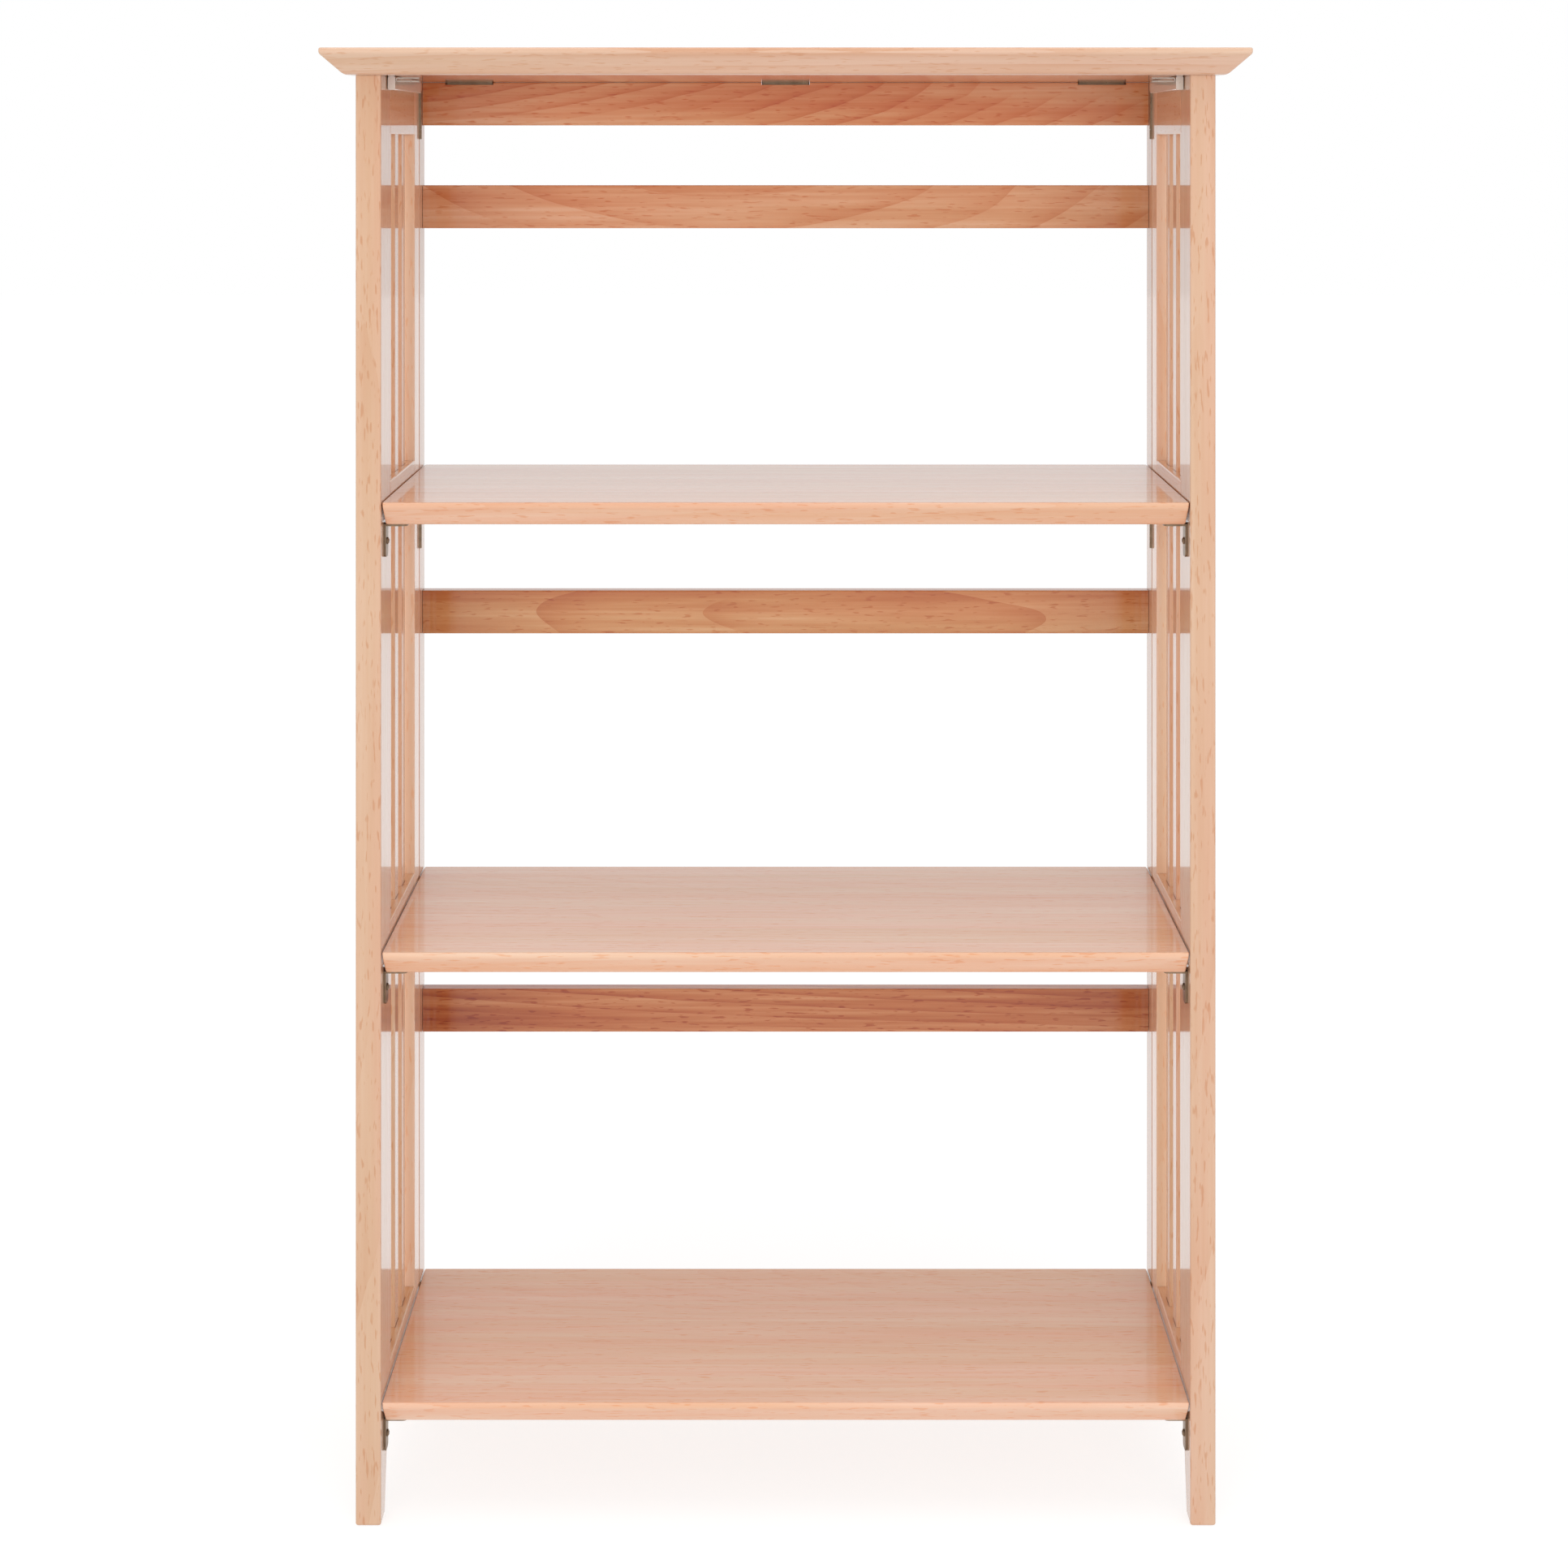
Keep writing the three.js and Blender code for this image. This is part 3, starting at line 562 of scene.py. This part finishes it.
for sign, side in zip((-1, 1), SIDES):
    for name in LEVELS:
        node = f"{side}_{name}_bracket"
        low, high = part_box(node)
        outer = max(abs(low.x), abs(high.x))
        line = (low.y + high.y) / 2
        seat = (sign * (outer - BRACKET_PLATE), line, high.z - SCREW_DROP)
        screw_head(f"{node}_side_screw", seat, (-sign, 0, 0), PAN_RADIUS, PAN_RISE, PAN_CROWN, "frame")
        seat = (sign * (outer - SCREW_REACH), line, high.z - BRACKET_PLATE)
        screw_head(f"{node}_low_screw", seat, (0, 0, -1), LOW_RADIUS, LOW_RISE, LOW_CROWN, "frame")


# Shelves
# Three boards glued up from staves. The front edge has a thin rounded nose over an undercut bevel, the ends
# slope in a little underneath, and the rear edge is square. Each turns up on two pins behind its middle.
SHELF_TONES = {"lower": (0.90, 0.53, 0.335), "middle": (0.89, 0.53, 0.34), "upper": (0.84, 0.48, 0.30)}
SHELF_SEED = 81.6
SHELF_CONTRAST, SHELF_FIGURE = 0.45, 0.16
SHELF_STAVE = 47 * MM
SHELF_NOSE = 5 * MM
SHELF_NOSE_EASE = 2 * MM
SHELF_BEVEL_RUN = 12.5 * MM
SHELF_BOTTOM_EASE = 2 * MM
SHELF_END_UNDERCUT = 1.7 * MM
SHELF_END_EASE = 0.8 * MM
SHELF_CORNER = 1.2 * MM
FACE_MARGIN = 4 * MM
EDGE_POINTS = 13


def moulded_edge(thickness, nose, nose_ease, bevel_run, foot_ease):
    """Inset and height of a moulded edge from the underside up: straight lines between the corners of the
    moulding, and each corner a quadratic curve from its ease before it to its ease after it."""
    corners = np.array(
        [
            [bevel_run + foot_ease + FACE_MARGIN, 0],
            [bevel_run, 0],
            [0, thickness - nose],
            [0, thickness],
            [nose_ease + FACE_MARGIN, thickness],
        ]
    )
    eases = (foot_ease, nose_ease, nose_ease)
    path = [corners[:1]]
    for before, corner, after, ease in zip(corners[:-2], corners[1:-1], corners[2:], eases):
        back, ahead = before - corner, after - corner
        start = corner + back / np.linalg.norm(back) * ease
        end = corner + ahead / np.linalg.norm(ahead) * ease
        t = np.linspace(0, 1, EDGE_POINTS)[:, None]
        path.append((1 - t) ** 2 * start + 2 * t * (1 - t) * corner + t**2 * end)
    path.append(corners[-1:])
    line = np.concatenate(path)
    return line[:, 0], line[:, 1]


def plain_edge(height, thickness, slope, top_ease, bottom_ease):
    """Inset of an unmoulded edge at each height above the underside: an even slope inwards going down, plus a
    quarter circle, ease times (1 - sqrt(1 - u^2)), at the upper and the lower corner. The first and the last
    ring lie inside the faces, one margin further in."""
    upper = np.clip((height - thickness + top_ease) / top_ease, 0, 1)
    lower = np.clip((bottom_ease - height) / bottom_ease, 0, 1)
    rounding = top_ease * (1 - np.sqrt(1 - upper**2)) + bottom_ease * (1 - np.sqrt(1 - lower**2))
    inset = slope * (1 - height / thickness) + rounding
    inset[[0, -1]] += FACE_MARGIN
    return inset


for number, name in enumerate(LEVELS):
    node = f"{name}_shelf"
    low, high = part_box(node)
    thickness = high.z - low.z
    front, height = moulded_edge(thickness, SHELF_NOSE, SHELF_NOSE_EASE, SHELF_BEVEL_RUN, SHELF_BOTTOM_EASE)
    ends = plain_edge(height, thickness, SHELF_END_UNDERCUT, SHELF_END_EASE, SHELF_BOTTOM_EASE)
    rear = plain_edge(height, thickness, 0, EDGE, EDGE)
    lows = np.stack([low.x + ends, low.y + front], axis=-1)
    highs = np.stack([high.x - ends, high.y - rear], axis=-1)
    look = {"Stave": SHELF_STAVE, "Figure": SHELF_FIGURE, "Contrast": SHELF_CONTRAST}
    wood = lacquered_wood(node, "x", SHELF_TONES[name], SHELF_SEED + number, **look)
    shelf = stacked_board(f"{node}_wood", low.z + height, lows, highs, SHELF_CORNER, wood)
    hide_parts(node)
    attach(shelf, node)


# Top
# One glued-up board with a thin rounded nose over a long undercut bevel on its front and both ends, and a
# square rear edge. It settles on the side frames by its own weight. Two cleats under it hold them open.
TOP_TONE, TOP_SEED = (0.75, 0.475, 0.315), 95.2
TOP_FIGURE, TOP_PORES = 0.3, 0.28
TOP_STAVE = 55 * MM
TOP_NOSE = 5.5 * MM
TOP_NOSE_EASE = 2 * MM
TOP_BEVEL_RUN = 20.5 * MM
TOP_BEVEL_EASE = 4 * MM
TOP_CORNER = 1.5 * MM
TOP_SEATING = 0.22 * MM

low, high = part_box("top_board")
low.z -= TOP_SEATING
thickness = high.z - low.z
moulded, height = moulded_edge(thickness, TOP_NOSE, TOP_NOSE_EASE, TOP_BEVEL_RUN, TOP_BEVEL_EASE)
rear = plain_edge(height, thickness, 0, EDGE, EDGE)
lows = np.stack([low.x + moulded, low.y + moulded], axis=-1)
highs = np.stack([high.x - moulded, high.y - rear], axis=-1)
look = {"Stave": TOP_STAVE, "Figure": TOP_FIGURE, "Pores": TOP_PORES}
wood = lacquered_wood("top_board", "x", TOP_TONE, TOP_SEED, **look)
top_board = stacked_board("top_board_wood", low.z + height, lows, highs, TOP_CORNER, wood)
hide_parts("top_board")
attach(top_board, "top")

CLEAT_TONE, CLEAT_SEED = (0.82, 0.76, 0.70), 101.5
CLEAT_CONTRAST, CLEAT_FIGURE = 0.2, 0.1

for number, side in enumerate(SIDES):
    node = f"{side}_cleat"
    look = {"Contrast": CLEAT_CONTRAST, "Figure": CLEAT_FIGURE}
    finish_packed(node, lacquered_wood(node, "y", CLEAT_TONE, CLEAT_SEED + number, **look))

# Keeper clip beside each cleat: a bright steel strip folded flat on itself, open towards the middle.
CLIP_OUTER, CLIP_INNER = 373.6 * MM, 351 * MM
CLIP_MIDDLE_DROP = 3.6 * MM
CLIP_SLOT = 1.7 * MM
CLIP_STRIP = 1.3 * MM
CLIP_DEPTH = 14 * MM
CLIP_POINTS = 13
CLIP_DARK, CLIP_LIGHT = (0.42, 0.35, 0.30), (0.66, 0.58, 0.51)


def clip_outline():
    """Width and height of the strip's outline: round the fold a half circle on its outer face and another on
    its inner face, centre plus r (-cos a, sin a), and from each a straight run to the open end."""
    outer, inner = CLIP_SLOT / 2 + CLIP_STRIP, CLIP_SLOT / 2
    angle = np.linspace(math.pi / 2, 3 * math.pi / 2, CLIP_POINTS)
    circle = np.stack([-np.cos(angle), np.sin(angle)], axis=-1)
    centre = [CLIP_OUTER - outer, 0]
    lower_tip = [[CLIP_INNER, -outer], [CLIP_INNER, -inner]]
    upper_tip = [[CLIP_INNER, inner], [CLIP_INNER, outer]]
    return np.concatenate([centre + outer * circle, lower_tip, centre + inner * circle[::-1], upper_tip])


bright_plating = plated_steel("bright_plating", CLIP_DARK, CLIP_LIGHT)
clip_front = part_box("left_cleat")[0].y
clip_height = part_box("top_board")[0].z - CLIP_MIDDLE_DROP
for sign, side in zip((-1, 1), SIDES):
    section = clip_outline() * [sign, 1] + [0, clip_height]
    rings = [np.insert(section, 1, depth, axis=1) for depth in (clip_front, clip_front + CLIP_DEPTH)]
    clip = closed_skin(f"{side}_keeper_clip", np.array(rings), bright_plating)
    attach(clip, "top")
